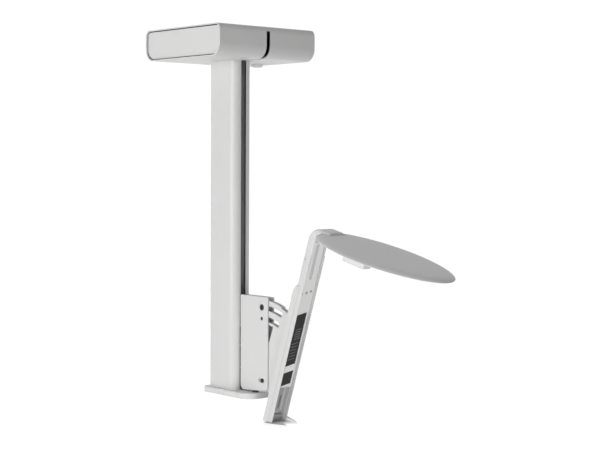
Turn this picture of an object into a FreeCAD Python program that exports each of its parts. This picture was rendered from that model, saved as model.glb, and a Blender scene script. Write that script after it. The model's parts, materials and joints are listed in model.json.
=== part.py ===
import FreeCAD, Part

import math
import os
import re

import Sketcher

# An overhead book scanner station that hangs from its head housing. A slotted column carries a
# sliding bracket, the bracket carries a leaning telescopic arm, and the arm ends in an oval lamp
# and camera head. Millimetres, +Z up, front is -Y. The origin is the middle of the top mounting face.

VECTOR = FreeCAD.Vector
X_AXIS = VECTOR(1, 0, 0)
Z_AXIS = VECTOR(0, 0, 1)
DOC = FreeCAD.newDocument("OverheadBookScanner")
SIZES = DOC.addObject("Spreadsheet::Sheet", "Sizes")

# Driving dimensions: name and value in millimetres or degrees.
DIMENSIONS = [
    # head housing
    ("head_width", 290), ("head_depth", 300), ("head_height", 76),
    ("head_top_round", 16), ("head_bottom_round", 30), ("shell_wall", 3), ("column_gap", 0.4),
    ("cap_recess", 3.5), ("cap_thick", 4), ("cap_gap", 2.2), ("cap_lip", 10), ("cap_rib", 3),
    ("chase_half", 6), ("chase_top", 12), ("chase_depth", 17), ("chase_fall", 26),
    ("fix_pitch", 200), ("fix_hole", 4.5),
    ("plate_half", 125), ("plate_thick", 6), ("plate_round", 12),
    ("roof_screw_out", 105), ("roof_screw_radius", 2),
    # power supply, controller board and its pillars
    ("supply_inner", 54), ("supply_outer", 122), ("supply_half", 62), ("supply_drop", 47),
    ("board_inner", 42), ("board_outer", 122), ("board_front", 50), ("board_back", 60),
    ("board_drop", 61.6), ("board_thick", 1.6), ("pillar_inset", 5), ("pillar_radius", 3),
    ("switch_half", 6), ("switch_height", 3.9), ("plunger_reach", 1.3), ("plunger_radius", 2),
    # column
    ("column_half", 29), ("column_front", 55.6), ("column_back", 39.6), ("column_bottom", 876),
    ("column_round", 21), ("slot_half", 7.5), ("lip_thick", 4), ("rail_half", 20),
    ("rail_back", 14), ("column_wall", 3.5), ("throat_half", 14), ("throat_back", 46),
    ("rail_shoulder", 40), ("gasket_thick", 1.2),
    ("end_plate_half", 42), ("end_plate_front", 127), ("end_plate_back", 53),
    ("end_plate_thick", 14), ("end_plate_round", 34), ("end_plug_height", 30), ("end_plug_gap", 0.3),
    ("end_screw_side", 14), ("end_screw_back", 13), ("end_screw_radius", 2.5),
    ("end_head_radius", 4.4), ("bumper_front", 105), ("bumper_radius", 8),
    # socket that grips the column's top end
    ("socket_half", 48), ("socket_front", 78), ("socket_back", 62), ("socket_height", 30),
    ("socket_screw_side", 39), ("socket_screw_front", 66), ("socket_screw_back", 50),
    ("socket_screw_radius", 3), ("socket_head_radius", 5), ("socket_head_tall", 6),
    ("set_screw_drop", 24), ("set_screw_radius", 3),
    # button under the head housing
    ("button_side", 106), ("button_rear", 24), ("button_radius", 15), ("button_proud", 8),
    ("button_gap", 0.4), ("button_round", 7), ("button_top", 70), ("button_flange", 2.5),
    # power inlet in the housing's back
    ("inlet_side", 80), ("inlet_drop", 30), ("inlet_radius", 7), ("inlet_bore", 4),
    # carriage
    ("bracket_top", 643), ("bracket_bottom", 874), ("bracket_front", 163), ("bracket_back", 59.5),
    ("bracket_half", 10), ("bracket_rise", 8), ("bracket_round", 12), ("sheet", 2.5),
    ("spine_height", 82), ("neck_half", 5), ("slider_half", 16), ("slider_back", 17),
    ("slider_front", 39), ("pad_tall", 22), ("pad_gap", 0.35),
    ("pivot_depth", 140), ("pivot_drop", 844), ("lean", 18.9),
    ("clamp_reach", 176), ("guide_reach", 149), ("clamp_radius", 4), ("guide_radius", 4.6),
    ("clamp_recess", 8), ("clamp_head", 6.5), ("clamp_key", 3.2), ("clamp_nut_reach", 7),
    ("clamp_nut_thick", 4.5), ("pivot_radius", 4.5), ("pivot_key", 2.2), ("pivot_slot_long", 11.5),
    ("pivot_slot_tall", 5.5), ("pivot_nut_reach", 7.5), ("pivot_nut_thick", 2.6), ("run_gap", 0.05),
    ("bolt_reach", 12), ("bolt_radius", 2.5), ("bolt_head_radius", 4.2), ("bolt_head_tall", 3.5),
    ("screw_radius", 1.6), ("screw_reach", 5),
    # tilt frame, measured in the arm's own frame from the pivot
    ("cheek_out", 6.5), ("cheek_in", 4.5), ("arc_outer", 194), ("arc_inner", 137), ("lobe_radius", 13),
    ("arm_back", 48.1), ("slot_ahead", 3), ("slot_behind", 19.2), ("arc_behind", 23), ("arc_ahead", 2),
    ("clamp_play", 2.2), ("guide_play", 1.5), ("saddle_thick", 3), ("saddle_half", 17),
    ("saddle_bottom", 24), ("saddle_top", 188), ("saddle_screw_side", 12),
    ("spacer_radius", 8), ("tie_radius", 5), ("tie_back", 34), ("tie_up", 120),
    ("rear_top", 272), ("rear_bottom", 95), ("rear_lip", 67.9), ("slide_gap", 0.35),
    # arm
    ("arm_half", 22.8), ("arm_waist", 20.3), ("arm_spine", 57.6), ("arm_step", 68.5),
    ("arm_front", 81.1), ("arm_wall", 2.3), ("arm_top", 352), ("cover_face", 72.1), ("fit_gap", 0.1),
    ("cover_bottom", 16), ("cover_top", 386), ("slot_bottom", 292), ("slot_top", 380),
    ("cable_half", 5.2), ("rim_width", 3.6), ("rim_proud", 1.2),
    ("plug_side", 13), ("plug_up", 258), ("plug_radius", 3.6),
    ("label_half", 14.5), ("label_top", 205), ("label_bottom", 23), ("label_rise", 6.5),
    ("band_top", 74), ("band_bottom", 57), ("label_thick", 0.8), ("band_thick", 0.3),
    ("latch_half", 6), ("latch_tall", 7), ("latch_bottom", 48), ("latch_top", 12),
    ("foot_level", 938), ("foot_gap", 2), ("fork_thick", 5.5), ("fork_centre", 189), ("fork_yaw", 22),
    ("foot_screw_radius", 2.5), ("foot_plug_top", 58),
    ("elbow_screw_out", 63.5), ("elbow_screw_drop", 12), ("elbow_screw_radius", 2.4),
    ("elbow_screw_reach", 9), ("elbow_plug", 24),
    ("hinge_out", 119.7), ("hinge_up", 417), ("nose_radius", 8.6), ("elbow_round", 38),
    # lamp and camera head, measured from the head hinge
    ("head_pitch", 13), ("leaf_long", 196), ("leaf_wide", 101), ("leaf_middle", 162),
    ("leaf_half_thick", 5), ("leaf_edge", 4.4), ("leaf_rim", 8), ("leaf_hollow_start", 18),
    ("notch_half", 23.8), ("notch_front", 11), ("pin_radius", 3), ("pin_half", 44),
    ("pod_middle", 88), ("pod_long", 63), ("pod_wide", 26), ("pod_drop", 36),
    ("pod_round", 11), ("pod_edge", 4), ("pod_collar", 3), ("pod_wall", 5.5), ("pod_floor", 3),
    ("pod_screw_side", 5), ("pod_screw_inset", 10.5), ("pod_screw_radius", 1.2),
    ("sensor_drop", 16), ("sensor_thick", 1.6), ("post_radius", 2.2), ("post_inset", 8),
    ("lens_radius", 7), ("lens_wall", 1.8), ("lens_sink", 4), ("glass_thick", 3),
]

for row, (alias, amount) in enumerate(DIMENSIONS, start=1):
    SIZES.set("A%d" % row, str(amount))
    SIZES.setAlias("A%d" % row, alias)
DOC.recompute()

ALIASES = {alias for alias, amount in DIMENSIONS}
NODES = {}


def formula(text):
    """Turn a plain formula in the sheet's names into an expression that FreeCAD can bind."""
    def with_sheet(found):
        word = found.group(0)
        return "Sizes." + word if word in ALIASES else word

    return re.sub(r"[a-z_]+", with_sheet, str(text))


def number(text):
    return float(SIZES.evalExpression(formula(text)))


def bind(thing, prop, text):
    thing.setExpression(prop, formula(text))


def node(thing, name, frame=None):
    """Name a finished sub-part, and stand it in its frame."""
    if frame and thing.TypeId in ("Part::Box", "Part::Cylinder"):
        thing = group(thing)
    thing.Label = name
    if frame:
        FRAMES[frame](thing)
    NODES[name] = thing
    return thing


def arm_frame(thing):
    """The arm's frame: origin on the tilt pivot, +Z up along the leaning arm."""
    thing.Placement = FreeCAD.Placement(VECTOR(0, 0, 0), FreeCAD.Rotation(X_AXIS, 1))
    bind(thing, "Placement.Base.y", "-pivot_depth")
    bind(thing, "Placement.Base.z", "-pivot_drop")
    bind(thing, "Placement.Rotation.Angle", "lean")


def leaf_frame(thing):
    """The lamp head's frame: origin on the head hinge, +Z square to the oval plate."""
    thing.Placement = FreeCAD.Placement(VECTOR(0, 0, 0), FreeCAD.Rotation(X_AXIS, 1))
    bind(thing, "Placement.Base.y", "-pivot_depth - hinge_out * cos(lean) - hinge_up * sin(lean)")
    bind(thing, "Placement.Base.z", "-pivot_drop - hinge_out * sin(lean) + hinge_up * cos(lean)")
    bind(thing, "Placement.Rotation.Angle", "head_pitch")


FRAMES = {"arm": arm_frame, "leaf": leaf_frame}


# ---- solids from primitives -------------------------------------------------------------------

def block(x_low, x_high, y_low, y_high, z_low, z_high):
    """A box between three pairs of formulas."""
    box = DOC.addObject("Part::Box", "Block")
    for prop, base, low, high in (("Length", "x", x_low, x_high), ("Width", "y", y_low, y_high),
                                  ("Height", "z", z_low, z_high)):
        bind(box, prop, "(%s) - (%s)" % (high, low))
        bind(box, "Placement.Base." + base, low)
    return box


def rod(axis, start, end, first, second, radius):
    """A cylinder along an axis between two formulas, at the two other coordinates, in X, Y, Z order."""
    cylinder = DOC.addObject("Part::Cylinder", "Rod")
    turn = {"x": FreeCAD.Rotation(VECTOR(0, 1, 0), 90), "y": FreeCAD.Rotation(X_AXIS, -90),
            "z": FreeCAD.Rotation()}[axis]
    cylinder.Placement = FreeCAD.Placement(VECTOR(0, 0, 0), turn)
    others = [name for name in "xyz" if name != axis]
    bind(cylinder, "Radius", radius)
    bind(cylinder, "Height", "(%s) - (%s)" % (end, start))
    bind(cylinder, "Placement.Base." + axis, start)
    bind(cylinder, "Placement.Base." + others[0], first)
    bind(cylinder, "Placement.Base." + others[1], second)
    return cylinder


def oval(long_half, wide_half, middle, low, high):
    """An elliptical plate: long along Y, between two heights."""
    ellipse = DOC.addObject("Part::Ellipse", "Oval")
    ellipse.Placement = FreeCAD.Placement(VECTOR(0, 0, 0), FreeCAD.Rotation(Z_AXIS, 90))
    bind(ellipse, "MajorRadius", long_half)
    bind(ellipse, "MinorRadius", wide_half)
    bind(ellipse, "Placement.Base.y", middle)
    bind(ellipse, "Placement.Base.z", low)
    plate = DOC.addObject("Part::Extrusion", "OvalPlate")
    plate.Base = ellipse
    plate.DirMode = "Custom"
    plate.Dir = Z_AXIS
    bind(plate, "LengthFwd", "(%s) - (%s)" % (high, low))
    plate.Solid = True
    return plate


def cut(base, *tools):
    for tool in tools:
        result = DOC.addObject("Part::Cut", "Cut")
        result.Base = base
        result.Tool = tool
        base = result
    return base


def fuse(*things):
    result = DOC.addObject("Part::MultiFuse", "Fuse")
    result.Shapes = list(things)
    result.Refine = True
    return result


def common(first, second):
    result = DOC.addObject("Part::Common", "Common")
    result.Base = first
    result.Tool = second
    return result


def group(*things):
    """Separate solids kept together as one sub-part."""
    result = DOC.addObject("Part::Compound", "Group")
    result.Links = list(things)
    return result


def rounded(base, radius, wanted):
    """Round every edge of a solid that the test accepts."""
    DOC.recompute()
    result = DOC.addObject("Part::Fillet", "Rounded")
    result.Base = base
    amount = number(radius)
    edges = enumerate(base.Shape.Edges, start=1)
    result.Edges = [(index, amount, amount) for index, edge in edges if wanted(edge.BoundBox)]
    return result


# ---- solids from sketches ---------------------------------------------------------------------

def origin_plane(body, role):
    return next(feature for feature in body.Origin.OriginFeatures if feature.Role == role)


def fix_point(sketch, geometry, position, x_text, y_text):
    """Hold one point of a sketch at two formulas."""
    for kind, text in (("DistanceX", x_text), ("DistanceY", y_text)):
        index = sketch.addConstraint(Sketcher.Constraint(kind, -1, 1, geometry, position, number(text)))
        bind(sketch, "Constraints[%d]" % index, text)


def draw_circle(sketch, x_text, y_text, radius):
    centre = VECTOR(number(x_text), number(y_text), 0)
    ring = sketch.addGeometry(Part.Circle(centre, Z_AXIS, number(radius)), False)
    fix_point(sketch, ring, 3, x_text, y_text)
    index = sketch.addConstraint(Sketcher.Constraint("Radius", ring, number(radius)))
    bind(sketch, "Constraints[%d]" % index, radius)


def corner_arc(before, corner, after, radius):
    """Return where a rounded corner starts and ends, its centre, and whether it turns left."""
    inward = (before - corner).normalize()
    outward = (after - corner).normalize()
    half_angle = inward.getAngle(outward) / 2
    reach = radius / math.tan(half_angle)
    bisector = (inward + outward).normalize()
    centre = corner + bisector * (radius / math.sin(half_angle))
    left = inward.cross(outward).z < 0
    return corner + inward * reach, corner + outward * reach, centre, left


def draw_outline(sketch, corners):
    """Draw a closed outline; each corner is (x, y) or (x, y, rounding radius), as formulas."""
    points = [VECTOR(number(corner[0]), number(corner[1]), 0) for corner in corners]
    count = len(corners)
    starts, ends, arcs = {}, {}, {}
    for i, corner in enumerate(corners):
        starts[i] = ends[i] = points[i]
        if len(corner) == 3:
            radius = number(corner[2])
            arcs[i] = corner_arc(points[i - 1], points[i], points[(i + 1) % count], radius)
            starts[i], ends[i] = arcs[i][0], arcs[i][1]
    lines = [sketch.addGeometry(Part.LineSegment(ends[i], starts[(i + 1) % count]), False)
             for i in range(count)]
    for i, corner in enumerate(corners):
        before, after = lines[i - 1], lines[i]
        if i not in arcs:
            sketch.addConstraint(Sketcher.Constraint("Coincident", before, 2, after, 1))
            fix_point(sketch, after, 1, corner[0], corner[1])
            continue
        begin, finish, centre, left = arcs[i]
        first, last = (begin, finish) if left else (finish, begin)
        angles = [math.atan2(point.y - centre.y, point.x - centre.x) for point in (first, last)]
        circle = Part.Circle(centre, Z_AXIS, number(corner[2]))
        arc = sketch.addGeometry(Part.ArcOfCircle(circle, angles[0], angles[1]), False)
        begin_end = (1, 2) if left else (2, 1)
        sketch.addConstraint(Sketcher.Constraint("Tangent", before, 2, arc, begin_end[0]))
        sketch.addConstraint(Sketcher.Constraint("Tangent", arc, begin_end[1], after, 1))
        index = sketch.addConstraint(Sketcher.Constraint("Radius", arc, number(corner[2])))
        bind(sketch, "Constraints[%d]" % index, corner[2])
        apex = sketch.addGeometry(Part.Point(points[i]), True)
        sketch.addConstraint(Sketcher.Constraint("PointOnObject", apex, 1, before))
        sketch.addConstraint(Sketcher.Constraint("PointOnObject", apex, 1, after))
        fix_point(sketch, apex, 1, corner[0], corner[1])


def sketch_on(body, role, offset, loops):
    """A sketch on a moved origin plane; a loop is a circle of three formulas or an outline's list."""
    sketch = body.newObject("Sketcher::SketchObject", "Profile")
    sketch.AttachmentSupport = [(origin_plane(body, role), "")]
    sketch.MapMode = "FlatFace"
    bind(sketch, "AttachmentOffset.Base.z", offset)
    DOC.recompute()
    for loop in loops:
        if isinstance(loop, tuple):
            draw_circle(sketch, *loop)
        else:
            draw_outline(sketch, loop)
    return sketch


def prism(role, low, high, *loops):
    """A PartDesign body padded from one offset of an origin plane to another."""
    body = DOC.addObject("PartDesign::Body", "Body")
    sketch = sketch_on(body, role, low, loops)
    pad = body.newObject("PartDesign::Pad", "Pad")
    pad.Profile = sketch
    bind(pad, "Length", "(%s) - (%s)" % (high, low))
    DOC.recompute()
    return body


def extend(body, role, low, high, *loops):
    """Add one more pad to a body."""
    sketch = sketch_on(body, role, low, loops)
    pad = body.newObject("PartDesign::Pad", "Pad")
    pad.Profile = sketch
    bind(pad, "Length", "(%s) - (%s)" % (high, low))
    DOC.recompute()
    return body


def pocket(body, role, low, high, *loops):
    """Cut loops out of a body between two offsets, and make sure that something went."""
    volume = body.Shape.Volume
    sketch = sketch_on(body, role, "((%s) + (%s)) / 2" % (low, high), loops)
    feature = body.newObject("PartDesign::Pocket", "Pocket")
    feature.Profile = sketch
    feature.SideType = "Symmetric"
    bind(feature, "Length", "(%s) - (%s)" % (high, low))
    DOC.recompute()
    if body.Shape.Volume > volume - 1e-3:
        raise RuntimeError("a pocket removed nothing from " + body.Name)
    return body


def soften(body, radius, wanted):
    """Fillet the edges of a body that the test accepts."""
    tip = body.Tip
    fillet = body.newObject("PartDesign::Fillet", "Fillet")
    names = ["Edge%d" % i for i, edge in enumerate(tip.Shape.Edges, start=1) if wanted(edge.BoundBox)]
    fillet.Base = (tip, names)
    bind(fillet, "Radius", radius)
    DOC.recompute()
    return body


def rectangle(x_low, x_high, y_low, y_high, radius=None):
    tail = (radius,) if radius else ()
    return [(x_low, y_low) + tail, (x_high, y_low) + tail, (x_high, y_high) + tail, (x_low, y_high) + tail]


def flat_at(level, tolerance=0.01):
    """Accept edges that lie wholly at one height."""
    height = number(level)
    return lambda bounds: abs(bounds.ZMin - height) < tolerance and abs(bounds.ZMax - height) < tolerance


# ---- head housing -----------------------------------------------------------------------------

def head_outline(inset):
    """The housing's side profile in the YZ plane, moved inwards."""
    depth = "head_depth / 2 - (%s)" % inset
    bottom = "head_bottom_round - (%s)" % inset
    top = "head_top_round - (%s)" % inset
    low = "-head_height + (%s)" % inset
    return [("-(%s)" % depth, low, bottom), (depth, low, bottom), (depth, "-(%s)" % inset, top),
            ("-(%s)" % depth, "-(%s)" % inset, top)]


def corner_points(half):
    return [("%s * (%s)" % (sx, half), "%s * (%s)" % (sy, half)) for sx in ("-1", "1") for sy in ("-1", "1")]


def housing_shell():
    """A wrap-round sleeve with the column's hole, the front cable chase and the button's hole."""
    body = prism("YZ_Plane", "-head_width / 2", "head_width / 2",
                 head_outline("0"), head_outline("shell_wall"))
    pocket(body, "XY_Plane", "-head_height - 1", "-head_height + shell_wall + 1",
           rectangle("-column_half - column_gap", "column_half + column_gap",
                     "-column_front - column_gap", "column_back + column_gap"))
    chase = [("-head_depth / 2 - 1", "-head_height - 1"), ("-column_front", "-head_height - 1"),
             ("-column_front", "-head_height + shell_wall + 2"),
             ("-head_depth / 2 + chase_depth", "-chase_top - chase_fall"),
             ("-head_depth / 2 + chase_depth", "-chase_top"), ("-head_depth / 2 - 1", "-chase_top")]
    pocket(body, "YZ_Plane", "-chase_half", "chase_half", chase)
    pocket(body, "XY_Plane", "-shell_wall - 1", "1",
           *[(x, y, "fix_hole") for x, y in corner_points("fix_pitch / 2")])
    pocket(body, "XY_Plane", "-shell_wall - 1", "1",
           *[(x, y, "roof_screw_radius + 0.1") for x, y in roof_screw_places()])
    pocket(body, "XY_Plane", "-head_height - 1", "-head_height + shell_wall + 1",
           ("button_side", "button_rear", "button_radius + button_gap"))
    pocket(body, "XZ_Plane", "-head_depth / 2 - 3", "-head_depth / 2 + 6",
           ("inlet_side", "-inlet_drop", "inlet_radius"))
    node(body, "housing_shell")


def end_cap(side, name):
    """A cap sunk inside the sleeve's rim, with a lip that seats on the sleeve's inner wall."""
    face, back = "head_width / 2 - cap_recess", "head_width / 2 - cap_recess - cap_thick"
    if side < 0:
        low, high = "-(%s)" % face, "-(%s)" % back
        lip_low, lip_high = high, "%s + cap_lip" % high
    else:
        low, high = back, face
        lip_low, lip_high = "%s - cap_lip" % low, low
    body = prism("YZ_Plane", low, high, head_outline("shell_wall + cap_gap"))
    extend(body, "YZ_Plane", lip_low, lip_high,
           head_outline("shell_wall"), head_outline("shell_wall + cap_rib"))
    outer = number("-(%s)" % face if side < 0 else face)
    soften(body, "1", lambda bounds: abs(bounds.XMin - outer) < 0.01 and abs(bounds.XMax - outer) < 0.01)
    node(body, name)


def mount_plate():
    """The steel plate that takes the four fixing bolts and carries the column."""
    body = prism("XY_Plane", "-shell_wall - plate_thick", "-shell_wall",
                 rectangle("-plate_half", "plate_half", "-plate_half", "plate_half", "plate_round"),
                 *[(x, y, "fix_hole") for x, y in corner_points("fix_pitch / 2")])
    pocket(body, "XY_Plane", "-shell_wall - plate_thick - 1", "-shell_wall + 1",
           *[(x, y, "socket_screw_radius") for x, y in socket_screw_places()])
    pocket(body, "XY_Plane", "-shell_wall - plate_thick - 1", "-shell_wall + 1",
           *[(x, y, "roof_screw_radius") for x, y in roof_screw_places()])
    node(body, "mount_plate")


def roof_screw_places():
    return [("0", "-roof_screw_out"), ("0", "roof_screw_out")]


def shell_screws():
    """Two grub screws, sunk just below the roof, that hold the sleeve to the plate."""
    node(group(*[rod("z", "-shell_wall - plate_thick", "-0.6", x, y, "roof_screw_radius")
                 for x, y in roof_screw_places()]), "shell_screws")


def socket_screw_places():
    return [("%s * socket_screw_side" % sx, y) for sx in ("-1", "1")
            for y in ("-socket_screw_front", "socket_screw_back")]


def column_socket():
    """The block that grips the column's top end under the plate."""
    low, high = "-shell_wall - plate_thick - socket_height", "-shell_wall - plate_thick"
    body = prism("XY_Plane", low, high,
                 rectangle("-socket_half", "socket_half", "-socket_front", "socket_back", "8"),
                 column_outline("0.25"),
                 *[(x, y, "socket_screw_radius") for x, y in socket_screw_places()])
    pocket(body, "YZ_Plane", "-socket_half - 1", "socket_half + 1",
           ("0", "-set_screw_drop", "set_screw_radius"))
    node(body, "column_socket")


def socket_screws():
    """Cap screws through the socket into the plate, and set screws against the column."""
    screws = []
    for x, y in socket_screw_places():
        shank = rod("z", "-shell_wall - plate_thick - socket_height", "-shell_wall - 0.5", x, y,
                    "socket_screw_radius")
        head = rod("z", "-shell_wall - plate_thick - socket_height - socket_head_tall",
                   "-shell_wall - plate_thick - socket_height", x, y, "socket_head_radius")
        screws.append(fuse(shank, head))
    node(group(*screws), "socket_screws")
    left = rod("x", "-socket_half + 2", "-column_half - run_gap", "0", "-set_screw_drop", "set_screw_radius")
    right = rod("x", "column_half + run_gap", "socket_half - 2", "0", "-set_screw_drop", "set_screw_radius")
    node(group(left, right), "column_set_screws")


def electronics():
    """Power supply, controller board with its pillars, button switch and the power inlet."""
    supply = block("-supply_outer", "-supply_inner", "-supply_half", "supply_half", "-supply_drop",
                   "-shell_wall - plate_thick")
    node(rounded(supply, "2", lambda bounds: bounds.ZLength > 30), "power_supply")
    board = prism("XY_Plane", "-board_drop", "-board_drop + board_thick",
                  rectangle("board_inner", "board_outer", "-board_front", "board_back", "3"),
                  *[(x, y, "1.6") for x, y in pillar_places()])
    node(board, "controller_board")
    pillars = [rod("z", "-head_height + shell_wall", "-board_drop", x, y, "pillar_radius")
               for x, y in pillar_places()]
    node(group(*pillars), "board_pillars")
    body = block("button_side - switch_half", "button_side + switch_half", "button_rear - switch_half",
                 "button_rear + switch_half", "-board_drop - switch_height", "-board_drop")
    plunger = rod("z", "-board_drop - switch_height - plunger_reach", "-board_drop - switch_height",
                  "button_side", "button_rear", "plunger_radius")
    node(fuse(body, plunger), "button_switch")
    barrel = rod("y", "head_depth / 2 - 20", "head_depth / 2 + 0.8", "inlet_side", "-inlet_drop",
                 "inlet_radius - fit_gap")
    flange = rod("y", "head_depth / 2 - 6", "head_depth / 2 - shell_wall", "inlet_side", "-inlet_drop",
                 "inlet_radius + 3")
    bore = rod("y", "head_depth / 2 - 12", "head_depth / 2 + 2", "inlet_side", "-inlet_drop", "inlet_bore")
    node(cut(fuse(barrel, flange), bore), "power_inlet")


def pillar_places():
    return [(x, y) for x in ("board_inner + pillar_inset", "board_outer - pillar_inset")
            for y in ("-board_front + pillar_inset", "board_back - pillar_inset")]


def standby_button():
    """The round push button in the housing's underside, with a stop flange inside."""
    cap = rod("z", "-head_height - button_proud", "-button_top", "button_side", "button_rear",
              "button_radius")
    cap = rounded(cap, "button_round", flat_at("-head_height - button_proud"))
    flange = rod("z", "-head_height + shell_wall + 0.3", "-button_top - 0.2", "button_side", "button_rear",
                 "button_radius + button_flange")
    node(fuse(cap, flange), "standby_button")


# ---- column -----------------------------------------------------------------------------------

def column_outline(grow):
    """The column's closed outer outline: flat back and sides, two large front corners."""
    half, front, back = "column_half + %s" % grow, "-column_front - %s" % grow, "column_back + %s" % grow
    return [("-(%s)" % half, front, "column_round + %s" % grow), (half, front, "column_round + %s" % grow),
            (half, back, "3"), ("-(%s)" % half, back, "3")]


def column_extrusion():
    """The extruded column: T-shaped rail behind the front slot and a hollow rear chamber."""
    lip = "-column_front + lip_thick"
    section = [("-column_half", "column_back", "3"), ("-column_half", "-column_front", "column_round"),
               ("-slot_half", "-column_front"), ("-slot_half", lip), ("-throat_half", lip),
               ("-throat_half", "-throat_back"), ("-rail_half", "-rail_shoulder"),
               ("-rail_half", "-rail_back"), ("rail_half", "-rail_back"), ("rail_half", "-rail_shoulder"),
               ("throat_half", "-throat_back"), ("throat_half", lip), ("slot_half", lip),
               ("slot_half", "-column_front"), ("column_half", "-column_front", "column_round"),
               ("column_half", "column_back", "3")]
    chamber = rectangle("-column_half + column_wall", "column_half - column_wall",
                        "-rail_back + column_wall", "column_back - column_wall", "2")
    body = prism("XY_Plane", "-column_bottom", "-shell_wall - plate_thick", section, chamber)
    node(body, "column_extrusion")


def slot_gasket(side, name):
    """A soft strip on one lip of the slot."""
    inner = "slot_half - gasket_thick"
    low, high = ("-slot_half", "-(%s)" % inner) if side < 0 else (inner, "slot_half")
    node(block(low, high, "-column_front + 0.3", "-column_front + lip_thick - 0.2",
               "-column_bottom + 1", "-head_height - 1"), name)


def column_end():
    """The plate that closes the column's lower end, its plug, screws and bumper."""
    outline = [("-end_plate_half", "-end_plate_front", "end_plate_round"),
               ("end_plate_half", "-end_plate_front", "end_plate_round"),
               ("end_plate_half", "end_plate_back", "12"), ("-end_plate_half", "end_plate_back", "12")]
    screw_places = [("-end_screw_side", "end_screw_back"), ("end_screw_side", "end_screw_back")]
    under = "-column_bottom - end_plate_thick"
    plate = prism("XY_Plane", "-column_bottom - end_plate_thick", "-column_bottom", outline,
                  *[(x, y, "end_screw_radius") for x, y in screw_places])
    soften(plate, "1.5", flat_at("-column_bottom"))
    pocket(plate, "XY_Plane", "%s - 1" % under, "%s + 5" % under,
           *[(x, y, "end_head_radius + 0.1") for x, y in screw_places])
    node(plate, "column_end_plate")
    inset = "column_wall + end_plug_gap"
    plug = prism("XY_Plane", "-column_bottom", "-column_bottom + end_plug_height",
                 rectangle("-column_half + %s" % inset, "column_half - (%s)" % inset,
                           "-rail_back + %s" % inset, "column_back - (%s)" % inset, "2"),
                 *[(x, y, "end_screw_radius") for x, y in screw_places])
    node(plug, "end_plug")
    screws = []
    for x, y in screw_places:
        shank = rod("z", "%s + 4.5" % under, "-column_bottom + end_plug_height - 6", x, y, "end_screw_radius")
        head = rod("z", "%s + 1" % under, "%s + 5" % under, x, y, "end_head_radius")
        screws.append(fuse(shank, head))
    node(group(*screws), "end_plate_screws")
    node(rod("z", "-column_bottom", "-bracket_bottom - 0.3", "0", "-bumper_front", "bumper_radius"),
         "stop_bumper")


# ---- carriage ---------------------------------------------------------------------------------

def carriage_spine():
    """The slider inside the rail and the neck that leaves through the slot."""
    section = [("-slider_half", "-slider_back"), ("-slider_half", "-slider_front"),
               ("-neck_half", "-slider_front"), ("-neck_half", "-bracket_back"),
               ("neck_half", "-bracket_back"), ("neck_half", "-slider_front"),
               ("slider_half", "-slider_front"), ("slider_half", "-slider_back")]
    body = prism("XY_Plane", "-bracket_top - spine_height", "-bracket_top - 2", section)
    pocket(body, "XZ_Plane", "bracket_back - bolt_reach", "bracket_back + 1",
           *[("0", z, "bolt_radius") for z in bracket_bolt_heights()])
    node(body, "carriage_spine")


def glide_pads():
    """Four plastic pads between the slider and the rail's side walls."""
    pads = []
    spine_low, spine_high = "-bracket_top - spine_height", "-bracket_top - 2"
    for low, high in (("-rail_half + pad_gap", "-slider_half"), ("slider_half", "rail_half - pad_gap")):
        for bottom, top in ((spine_low, "%s + pad_tall" % spine_low),
                            ("%s - pad_tall" % spine_high, spine_high)):
            pads.append(block(low, high, "-slider_front + 0.5", "-rail_back - pad_gap", bottom, top))
    node(group(*pads), "glide_pads")


def bracket_channel():
    """A U-shaped sheet bracket, open to the front, with the clamp, guide and pivot holes."""
    outline = [("-bracket_front", "-bracket_bottom + bracket_rise", "bracket_round"),
               ("-bracket_back", "-bracket_bottom", "bracket_round"),
               ("-bracket_back", "-bracket_top", "2"), ("-bracket_front", "-bracket_top", "2")]
    body = prism("YZ_Plane", "-bracket_half", "bracket_half", outline)
    inner = "bracket_half - sheet"
    hollow = [("-bracket_front - 1", "-bracket_bottom - 1"), ("-bracket_back - sheet", "-bracket_bottom - 1"),
              ("-bracket_back - sheet", "-bracket_top + 1"), ("-bracket_front - 1", "-bracket_top + 1")]
    pocket(body, "YZ_Plane", "-(%s)" % inner, inner, hollow)
    clamp_z, guide_z = "-pivot_drop + clamp_reach", "-pivot_drop + guide_reach"
    pocket(body, "YZ_Plane", "-bracket_half - 1", "-bracket_half + sheet + 1",
           ("-pivot_depth", clamp_z, "clamp_recess"))
    pocket(body, "YZ_Plane", "bracket_half - sheet - 1", "bracket_half + 1",
           ("-pivot_depth", clamp_z, "clamp_radius"))
    pocket(body, "YZ_Plane", "-bracket_half - 1", "bracket_half + 1",
           ("-pivot_depth", guide_z, "guide_radius"))
    oblong = rectangle("-pivot_depth - pivot_slot_long", "-pivot_depth + pivot_slot_long",
                       "-pivot_drop - pivot_slot_tall", "-pivot_drop + pivot_slot_tall",
                       "pivot_slot_tall - 0.2")
    pocket(body, "YZ_Plane", "-bracket_half - 1", "-bracket_half + sheet + 1", oblong)
    pocket(body, "YZ_Plane", "bracket_half - sheet - 1", "bracket_half + 1",
           ("-pivot_depth", "-pivot_drop", "pivot_radius"))
    pocket(body, "XZ_Plane", "bracket_back - 1", "bracket_back + sheet + 1",
           *[("0", z, "bolt_radius") for z in bracket_bolt_heights()])
    node(body, "bracket_channel")


def bracket_bolt_heights():
    return ["-bracket_top - %d" % drop for drop in (18, 42, 66)]


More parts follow.
